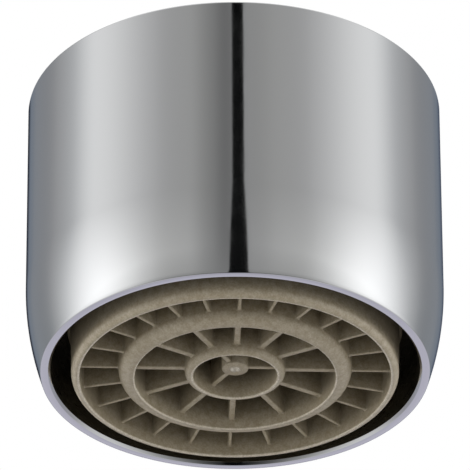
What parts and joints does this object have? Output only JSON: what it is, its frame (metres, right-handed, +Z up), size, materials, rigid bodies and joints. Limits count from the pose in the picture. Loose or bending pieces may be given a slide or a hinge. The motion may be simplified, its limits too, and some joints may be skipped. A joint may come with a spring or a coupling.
{
  "type": "tap flow restrictor",
  "caption": "Round tap outlet with a female inlet thread: chrome sleeve, plastic outlet grid of rings and ribs, flow regulator and strainer inside.",
  "frame": {"origin": "on the axis, at the lowest lips of the outlet grid", "axes": "+Z up along the axis, from the outlet towards the inlet thread; the camera of the picture is towards -Y and below"},
  "size_m": [0.024, 0.024, 0.0179],
  "materials": {
    "chrome_plated_brass": "bright chrome plate on turned brass",
    "beige_acetal": "moulded acetal, fine matt",
    "white_acetal": "moulded acetal, fine matt",
    "steel_wire": "bright woven stainless wire",
    "black_rubber": "moulded rubber, matt"
  },
  "bodies": {
    "root": {"sleeve": "chrome_plated_brass", "outlet_case": "beige_acetal", "lower_screen": "steel_wire", "screen_spacer": "white_acetal", "upper_screen": "steel_wire", "jet_plate": "white_acetal", "regulator_body": "white_acetal", "control_ring": "black_rubber", "regulator_cover": "white_acetal", "inlet_strainer": "beige_acetal", "sealing_washer": "black_rubber"}
  },
  "joints": []
}
